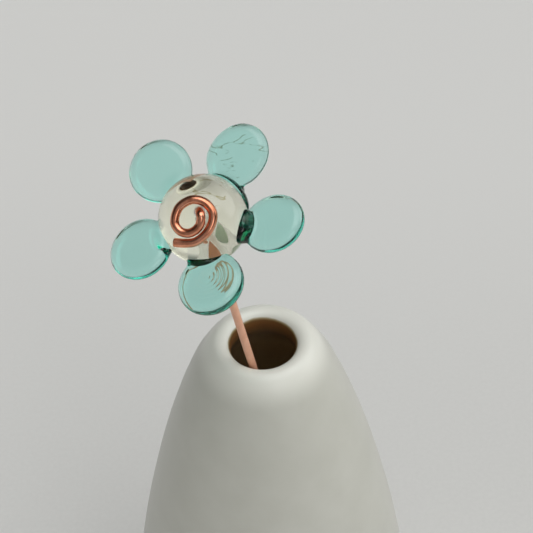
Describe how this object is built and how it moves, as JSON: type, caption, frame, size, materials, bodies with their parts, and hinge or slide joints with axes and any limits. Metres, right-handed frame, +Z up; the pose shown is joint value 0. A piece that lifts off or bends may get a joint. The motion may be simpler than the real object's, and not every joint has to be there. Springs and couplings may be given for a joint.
{
  "type": "glass daisy in bud vase",
  "caption": "Teal and clear glass daisy on a coiled copper wire stem, standing in a narrow-mouthed ivory ceramic bud vase.",
  "frame": {"origin": "centre of the vase's foot, on the surface it stands on", "axes": "+Z up along the vase's axis; the flower faces -Y, turned a little to -X and tipped upwards; +X is to the right seen from the front"},
  "size_m": [0.0604, 0.0604, 0.173],
  "materials": {
    "ivory_glaze": "ivory satin glaze outside, dark brown glaze inside",
    "copper_wire": "bare copper, bright on the coil, duller pink on the stem",
    "clear_glass": "clear lampworked glass with a faint straw tint",
    "teal_glass": "transparent teal lampworked glass"
  },
  "bodies": {
    "root": {"vase": "ivory_glaze", "copper_stem": "copper_wire", "glass_centre": "clear_glass", "petal_upper_left": "teal_glass", "petal_upper_right": "teal_glass", "petal_right": "teal_glass", "petal_bottom": "teal_glass", "petal_left": "teal_glass"}
  },
  "joints": []
}
